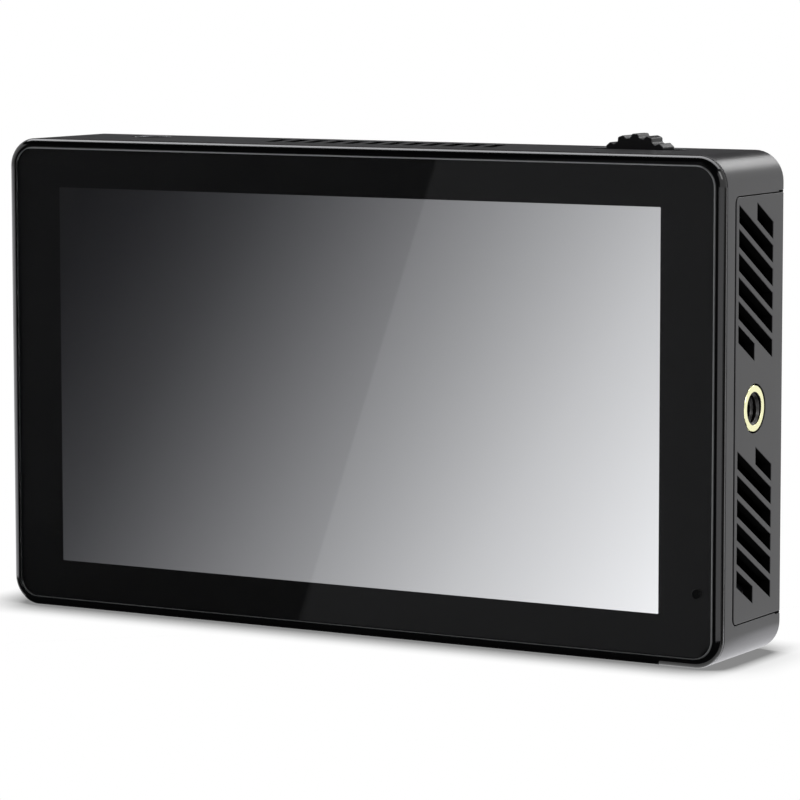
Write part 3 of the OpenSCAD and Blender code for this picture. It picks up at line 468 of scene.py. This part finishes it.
# The light sensor's dark lens, flush in the glass. The sensor lies deeper, so the lens stands half a
# millimetre to the right to show where the sensor does from the photograph's side.
lens_x = sensor_x + 0.5 * mm
b = bmesh.new()
rings = []
for r, y in ((0.02, 0.0), (0.6, 0.0), (0.8, 0.0), (0.84, 0.012), (0.84, 0.6)):
    rings.append([(x, front_y + y * mm, z) for x, z in circle(r * mm, 40, lens_x, sensor_z)])
rows = loft(b, rings)
b.faces.new(rows[0])
stand_for(finish_mesh(b, "sensor_lens", [lens_look]), "bezel_black", "case")

# The lit picture: a grey wash from the dark upper left to the pale lower right
wash_x, wash_z = 0.819, -0.574  # the way in which it grows lighter
wash_half = 76 * mm
wash_stops = ((0.0, 0.03), (0.05, 0.075), (0.25, 0.25), (0.5, 0.515), (0.76, 0.775), (1.0, 0.97))
cell = 0.07 * mm
picture, tree, shader = new_look(
    "picture", Base_Color=(0.01, 0.01, 0.01, 1), Roughness=0.35, Emission_Strength=1.0
)
at = axes(tree)
height = maths(tree, "SUBTRACT", at["Z"], picture_mid)
across = maths(tree, "MULTIPLY", at["X"], wash_x)
along = maths(tree, "ADD", across, maths(tree, "MULTIPLY", height, wash_z))
wash = spread(tree, along, -wash_half, wash_half)
wash = ramp(tree, wash, [(stop, (tone, tone, tone + 0.01)) for stop, tone in wash_stops])

# Painted reflection: the picture glows slightly lighter in its right part, from the edge of the reflection
# on the glass onwards
cross = maths(tree, "SUBTRACT", at["X"], maths(tree, "MULTIPLY", height, glare_slope))
painted_reflection_band = spread(tree, cross, glare_x - 0.3 * mm, glare_x + 0.1 * mm, 0.0, 0.022)
lit = mix(tree, 1.0, wash, painted_reflection_band, blend="ADD")
glow = add(tree, "ShaderNodeGamma", {"Color": lit, "Gamma": 2.25}).outputs["Color"]
cells = add(
    tree,
    "ShaderNodeTexBrick",
    {
        "Vector": place(tree, turn=(math.pi / 2, 0, 0)),
        "Color1": (*grey(1.0), 1), "Color2": (*grey(0.985), 1), "Mortar": (*grey(0.93), 1),
        "Scale": 1.0, "Brick Width": cell, "Row Height": cell,
        "Mortar Size": 0.008 * mm, "Mortar Smooth": 0.0, "Bias": 0.0,
    },
    offset=0.0,
)
seen = mix(tree, 1.0, glow, cells.outputs["Color"], blend="MULTIPLY")
tree.links.new(seen, shader.inputs["Emission Color"])
wear(picture, "display_panel")

# The glossy lip, with the ledge that carries the glass and the opening that the picture is behind
lip_low, lip_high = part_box("front_bezel")
case_front = ledge_y = -11.5 * mm
crown_w = 1.55 * mm
lip_w = 1.63 * mm
spigot = 2.1 * mm  # the part behind case_front is this much smaller all round, to fit in the case
break_edge = 0.05 * mm
open_x, open_low, open_high = 69.5 * mm, 6.45 * mm, 87.35 * mm


def lip_ring(inset, y):
    r = max(case_r - inset, 0.3 * mm)
    return [(x, y, z) for x, z in corners(lip_high.x - inset, lip_low.z + inset, lip_high.z - inset, r, 20)]


def open_ring(y):
    return [(x, y, z) for x, z in corners(open_x, open_low, open_high, 1 * mm, 20)]


b = bmesh.new()
rings = []
steps = 12
for i in range(steps + 1):
    t = math.radians(90 * i / steps)
    y = case_front - (case_front - front_y) * math.sin(t)
    rings.append(lip_ring(crown_w * (1 - math.cos(t)), y))
rings += [
    lip_ring(lip_w - break_edge, front_y),
    lip_ring(lip_w, front_y + break_edge),
    lip_ring(lip_w, ledge_y),
    open_ring(ledge_y),
    open_ring(lip_high.y),
    lip_ring(spigot + 2 * break_edge, lip_high.y),
    lip_ring(spigot, lip_high.y - 2 * break_edge),
    lip_ring(spigot, case_front),
]
loft(b, rings, close=True)
lip = finish_mesh(b, "bezel_lip", [lip_gloss])
even = lip.modifiers.new("normals", "WEIGHTED_NORMAL")
even.keep_sharp = True
stand_for(lip, "bezel_black", "case", "front_bezel")

# Case ---------------------------------------------------------------------------------------------

eased("housing", "case_shell", "case_grey", case_paint, 0.1 * mm)
eased("side_panel_right", "panel_right", "cover_grey", cover_paint, 0.12 * mm, front_gap=0.3 * mm)
eased("side_panel_left", "panel_left", "cover_grey", cover_paint, 0.12 * mm, front_gap=0.3 * mm)
eased("back_cover", "rear_plate", "cover_grey", cover_paint, 0.12 * mm)
eased("battery_plate", "battery_bed", "plate_black", plate_black, 0.15 * mm)
eased("battery_latch", "latch", "latch_black", control_black, 0.2 * mm)
eased("scroll_wheel", "dial", "wheel_black", control_black, 0.22 * mm)
eased("power_button", "power_cap", "button_black", cap_black, 0.25 * mm)

# The polished rim of the dish round the power button
cap_low, cap_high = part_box("power_button")
cap_mid = (cap_low + cap_high) / 2
rim_r, rim_t, rim_drop = 4.1 * mm, 0.2 * mm, 0.23 * mm
b = bmesh.new()
rings = []
for out, rise in circle(rim_t, 14):
    around = circle(rim_r + out, 64, cap_mid.x, cap_mid.y)
    rings.append([(x, y, body_high.z - rim_drop + rise) for x, y in around])
loft(b, rings, close=True)
stand_for(finish_mesh(b, "button_rim", [rim_look]), "case_grey", "case")


def threaded_insert(node, name, slot, look, out):
    """A turned brass insert with a helical thread cut in its bore, standing along out."""
    low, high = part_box(node)
    mid = (low + high) / 2
    length = abs((high - low).dot(out))
    turn_to = out.to_track_quat("Z", "Y").to_matrix().to_4x4()
    b = bmesh.new()
    n = 64
    top = length / 2
    # Heights are down from the outer face, and radii are in millimetres
    profile = [(length, 4.2), (length - 0.15 * mm, 4.35), (0.3 * mm, 4.35), (0.25 * mm, 4.28)]
    profile += [(0.06 * mm, 4.28), (0, 4.22), (0, 3.14), (0.05 * mm, 3.09)]
    rings = [[(x, y, top - down) for x, y in circle(r * mm, n)] for down, r in profile]
    pitch, crest, root = 1.27 * mm, 2.62 * mm, 3.06 * mm
    rows = 90
    lead_in = 6
    bore = []
    for k in range(rows + 1):
        h = top - 0.06 * mm - (length - 0.7 * mm) * k / rows
        line = []
        for i in range(n):
            phase = (h / pitch + i / n) % 1.0
            height = min(1.0, max(0.0, 1.6 * abs(2 * phase - 1) - 0.3)) * min(1.0, k / lead_in)
            r = root - (root - crest) * height
            a = 2 * math.pi * i / n
            line.append((r * math.cos(a), r * math.sin(a), h))
        bore.append(line)
    made = loft(b, rings + bore, [0] * (len(rings) - 1) + [1] * (rows + 1))
    b.faces.new(made[0])
    floor = b.faces.new(made[-1])
    floor.material_index = 1
    bmesh.ops.transform(b, matrix=Matrix.Translation(mid) @ turn_to, verts=b.verts)
    piece = finish_mesh(b, name, [look, bore_painted_shade])
    crisp = piece.modifiers.new("crisp", "EDGE_SPLIT")
    crisp.split_angle = math.radians(32)
    return stand_for(piece, slot, "case", node)


threaded_insert("side_insert", "thread_side", "insert_brass", brass_side_lit, Vector((1, 0, 0)))
threaded_insert("bottom_insert", "thread_bottom", "insert_brass", brass_up, Vector((0, 0, -1)))


def block(name, low, high, look, slot, r=0.08 * mm):
    """A small block between two corners, with its edges rounded by r."""
    b = bmesh.new()
    bmesh.ops.create_cube(b, size=1.0)
    for v in b.verts:
        v.co = Vector((low[i] + (high[i] - low[i]) * (v.co[i] + 0.5) for i in range(3)))
    bmesh.ops.bevel(b, geom=list(b.edges), offset=r, segments=2, affect="EDGES", profile=0.5)
    return stand_for(finish_mesh(b, name, [look]), slot, "case")


# Near-black blocks in the notches at the back ends of the side seams: painted shade where the notches would
# show through
flap_low, flap_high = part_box("side_panel_right")
stop_inner, stop_front, stop_back = 76.9 * mm, 10.75 * mm, 12.85 * mm
stop_outer = flap_high.x - 0.12 * mm
for side_name, side in (("right", 1), ("left", -1)):
    for end_name, edge_z, way in (("top", flap_high.z, 1), ("bottom", flap_low.z, -1)):
        xs = sorted((side * stop_inner, side * stop_outer))
        zs = sorted((edge_z + way * 0.02 * mm, edge_z + way * 0.42 * mm))
        stop = f"seam_stop_{side_name}_{end_name}"
        block(stop, (xs[0], stop_front, zs[0]), (xs[1], stop_back, zs[1]), notch_shade_black, "cover_grey")


def circuit(name, mask, up):
    """A circuit board: a dark solder mask, copper tracks under it, and rows of bright pads."""
    made, tree, shader = new_look(name, Roughness=0.35)
    where = place(tree, turn=up)
    tracks = add(
        tree,
        "ShaderNodeTexBrick",
        {
            "Vector": where,
            "Color1": (*grey(0.0), 1), "Color2": (*grey(0.25), 1), "Mortar": (*grey(1.0), 1),
            "Scale": 1.0, "Brick Width": 4.2 * mm, "Row Height": 0.9 * mm,
            "Mortar Size": 0.12 * mm, "Mortar Smooth": 0.1, "Bias": 0.0,
        },
    ).outputs["Color"]
    cells = add(tree, "ShaderNodeTexVoronoi", {"Vector": where, "Scale": 420.0, "Randomness": 0.6})
    pads = spread(tree, cells.outputs["Distance"], 0.17, 0.2, 1.0, 0.0)
    patch = spread(tree, noise(tree, where, 70.0, 1.0), 0.52, 0.56)
    pads = maths(tree, "MULTIPLY", pads, patch)
    under = mix(tree, tracks, (*mask, 1), (*shade(mask, 2.1), 1))
    face = mix(tree, pads, under, (0.7, 0.68, 0.6, 1))
    tree.links.new(face, shader.inputs["Base Color"])
    tree.links.new(pads, shader.inputs["Metallic"])
    bump(tree, shader, maths(tree, "ADD", pads, maths(tree, "MULTIPLY", tracks, 0.4)), 0.3, 0.03 * mm)
    return made


# The flat cable's conductors show through its film
flex, tree, shader = new_look("flex_cable", Roughness=0.4)
stripes = maths(tree, "SINE", maths(tree, "MULTIPLY", axes(tree)["X"], 9000.0))
film = ramp(tree, spread(tree, stripes, -1, 1), [(0.45, (0.3, 0.12, 0.02)), (0.6, (0.55, 0.3, 0.09))])
tree.links.new(film, shader.inputs["Base Color"])

mask_green = (0.012, 0.075, 0.03)
wear(circuit("board_green", mask_green, (math.pi / 2, 0, 0)), "main_board")
wear(circuit("small_board_green", mask_green, (0, 0, 0)), "key_board", "wheel_board")
wear(flex, "display_cable")
wear(chip_black, "processor")
wear(brass_up, "board_standoffs")
wear(moulded_black, "glass_adhesive", "headphone_jack", "dc_jack", "light_sensor")
wear(moulded_black, "wheel_encoder", "wheel_carrier")
wear(chassis_metal, "chassis", "backlight_unit", "cover_posts")
wear(socket_steel, "hdmi_input", "hdmi_output", "wheel_axle", "board_screws")
wear(socket_steel, "power_switch", "select_switch")
wear(sink_metal, "heat_sink")
wear(contact_brass, "battery_contacts")
wear(screw_black, "cover_screws")

# Stage: floor, background, cards and lamps --------------------------------------------------------


def seen_rays(tree):
    """1 for rays that come from the camera, a gloss or a glass."""
    path = add(tree, "ShaderNodeLightPath")
    total = maths(tree, "ADD", path.outputs["Is Camera Ray"], path.outputs["Is Glossy Ray"])
    return maths(tree, "MINIMUM", maths(tree, "ADD", total, path.outputs["Is Transmission Ray"]), 1.0)


def bare_tree(owner):
    """An empty node tree for a material or a world."""
    owner.use_nodes = True
    owner.node_tree.nodes.clear()
    return owner.node_tree


def rectangle(low, high):
    """The corners of a level or upright rectangle between two opposite corners."""
    return [low, (high[0], low[1], low[2]), high, (low[0], high[1], high[2])]


def card(name, points, look):
    """A flat face that belongs to the stage."""
    b = bmesh.new()
    b.faces.new([b.verts.new(p) for p in points])
    made = finish_mesh(b, name, [look], smooth=False)
    return made


# The floor is white to the camera, with a soft shadow close round the object. Light falls on it as on
# pale paper.
floor_look = bpy.data.materials.new("floor")
tree = bare_tree(floor_look)
near = add(tree, "ShaderNodeAmbientOcclusion", {"Distance": 11.8 * mm}, samples=16).outputs["AO"]
fall = ((0.5, 0.05), (0.58, 0.23), (0.69, 0.41), (0.79, 0.6), (0.88, 0.81), (1.0, 1.0))
tone = ramp(tree, near, [(open_sky, grey(level)) for open_sky, level in fall])
beside = spread(tree, axes(tree)["X"], 78.5 * mm, 82 * mm, 0.8, 0.3)
shadowed = maths(tree, "MULTIPLY", add(tree, "ShaderNodeLightPath").outputs["Is Camera Ray"], beside)
tone = mix(tree, shadowed, (1, 1, 1, 1), tone)
bright = add(tree, "ShaderNodeEmission", {"Color": tone, "Strength": 1.0}).outputs["Emission"]
matt = add(tree, "ShaderNodeBsdfDiffuse", {"Color": (0.8, 0.8, 0.8, 1)}).outputs["BSDF"]
mixed = add(tree, "ShaderNodeMixShader", {0: seen_rays(tree), 1: matt, 2: bright}).outputs["Shader"]
add(tree, "ShaderNodeOutputMaterial", {"Surface": mixed})
floor_z = -0.05 * mm
card("floor", rectangle((-30, -30, floor_z), (30, 30, floor_z)), floor_look)

world = bpy.data.worlds.new("studio")
bpy.context.scene.world = world
tree = bare_tree(world)
white = add(tree, "ShaderNodeBackground", {"Color": (1, 1, 1, 1), "Strength": 1.0}).outputs["Background"]
soft = add(tree, "ShaderNodeBackground", {"Color": (0.2, 0.2, 0.205, 1), "Strength": 1.0})
both = {0: seen_rays(tree), 1: soft.outputs["Background"], 2: white}
both = add(tree, "ShaderNodeMixShader", both).outputs["Shader"]
add(tree, "ShaderNodeOutputWorld", {"Surface": both})


def flag(name, points, level):
    """A card that only gloss and glass see, as studio flags and boards are used round glossy goods."""
    look = bpy.data.materials.new(name)
    tree = bare_tree(look)
    glow = add(tree, "ShaderNodeEmission", {"Color": (level, level, level * 1.03, 1), "Strength": 1.0})
    add(tree, "ShaderNodeOutputMaterial", {"Surface": glow.outputs["Emission"]})
    made = card(name, points, look)
    made.visible_camera = False
    made.visible_diffuse = False
    made.visible_shadow = False
    made.visible_volume_scatter = False
    return made


# Dark cards all round keep the glass and the lip black, and a bright one overhead draws the pale line
# on the lip's top. Cards that overlap on the floor lie at different heights, which are low, above and
# side_low.
dark, darker = 0.036, 0.02
low, above, side_low = 0.1 * mm, 0.2 * mm, 0.3 * mm
under_x, under_y = 78.5 * mm, 13 * mm
front_edge = -13.5 * mm  # half a millimetre in front of the lip
flag("flag_floor", rectangle((-1.5, -2.2, low), (0.9, front_edge, low)), dark)
flag("flag_under", rectangle((-under_x, front_edge, low), (66 * mm, under_y, low)), darker)
flag("flag_front", rectangle((-2.5, -2.2, 0), (1.4, -2.2, 1.8)), dark)
flag("flag_top", rectangle((-2.5, -2.2, 1.5), (1.5, 0.7, 1.5)), darker)
flag("sky_soft", rectangle((-1.3, -0.04, 1.15), (0.95, 0.72, 1.15)), 4.6)
flag("flag_back", rectangle((-3.0, 1.7, 0), (0.3, 1.7, 1.6)), 0.04)

# The photograph's viewpoint, and the board whose edge the glass shows
eye = Vector((0.38305, -0.65197, 0.12829))
mirrored = Vector((eye.x, 2 * front_y - eye.y, eye.z))
board_y = -0.35


def past_glass(z, y=None, height=None):
    """Where the mirrored eye's line through the reflection's edge at z meets a depth or a height."""
    point = Vector((glare_x + glare_slope * (z - picture_mid), front_y, z))
    if height is None:
        t = (y - mirrored.y) / (front_y - mirrored.y)
    else:
        t = (height - mirrored.z) / (z - mirrored.z)
    return tuple(mirrored + (point - mirrored) * t)


board_end = -30 * mm
board_level = 0.125
meet = mirrored.z + (above - mirrored.z) * (front_y - mirrored.y) / (board_y - mirrored.y)
joint = past_glass(meet, y=board_y)
near = past_glass(glass_low.z, height=above)
board_foot = (board_end, board_y, above)
board_top = (board_end, board_y, 0.4)
flag("board", [joint, board_foot, board_top, past_glass(0.16, y=board_y)], board_level)
flag("board_floor", [near, (70 * mm, near[1], above), board_foot, joint], board_level)


def wedge(name, side, first, last, reach, level):
    """A bright card on the floor that fans out from a lower corner of the case, between two directions."""
    apex = Vector((side * 78.8 * mm, -12 * mm, side_low))
    steps = 6
    points = []
    for far, way in ((27 * mm, range(steps, -1, -1)), (reach, range(steps + 1))):
        for k in way:
            a = math.radians(first + (last - first) * k / steps)
            points.append((apex.x + side * far * math.cos(a), apex.y + far * math.sin(a), apex.z))
    flag(name, points, level)


wedge("wedge_right", 1, -78, -9, 1.9, 1.4)
wedge("wedge_left", -1, -45, 14, 1.6, 2.5)

# The pale floor that the lower right rounding shows, and the dark line along the lip's right side
glow_points = ((66.5, -11.5), (79, -11.5), (86, 13), (88, 34), (64, 34), (66.5, 13))
flag("floor_glow", [(x * mm, y * mm, low) for x, y in glow_points], 1.7)
gap_points = ((0.084, -0.012), (1.9, 0.14), (1.55, 1.1), (0.1, 0.0))
flag("flag_right", [(x, y, side_low) for x, y in gap_points], darker)


def lamp(name, at, towards, size, level):
    """A soft box whose face has the given brightness."""
    data = bpy.data.lights.new(name, "AREA")
    data.shape = "RECTANGLE"
    data.size, data.size_y = size
    data.energy = level * math.pi * size[0] * size[1]
    made = bpy.data.objects.new(name, data)
    bpy.context.scene.collection.objects.link(made)
    made.location = at
    made.rotation_mode = "QUATERNION"
    made.rotation_quaternion = (Vector(at) - Vector(towards)).to_track_quat("Z", "Y")
    return made


lamp("back_soft", (0.22, 1.05, 0.62), (0, 0, 0.09), (0.55, 0.22), 4.8)
lamp("right_soft", (1.1, -0.35, 0.75), (0.05, 0, 0.05), (0.5, 0.5), 3.8)

# Camera -------------------------------------------------------------------------------------------

photo_width = 800
turn, rise, roll = math.radians(30.16), math.radians(6.342), math.radians(-0.076)
back = Vector((math.sin(turn) * math.cos(rise), -math.cos(turn) * math.cos(rise), math.sin(rise)))
right = (-back).cross(Vector((0, 0, 1))).normalized()
up = right.cross(-back)
side = right * math.cos(roll) + up * math.sin(roll)
top = -right * math.sin(roll) + up * math.cos(roll)
camera = bpy.data.objects.new("camera", bpy.data.cameras.new("camera"))
bpy.context.scene.collection.objects.link(camera)
camera.data.lens = 176.82
camera.data.sensor_width = 36
camera.data.shift_x = -1.0 / photo_width
camera.data.clip_start = 0.01
camera.data.clip_end = 200
camera.matrix_world = Matrix.Translation(eye) @ Matrix((side, top, back)).transposed().to_4x4()
bpy.context.scene.camera = camera
bpy.context.scene.view_settings.view_transform = "Standard"
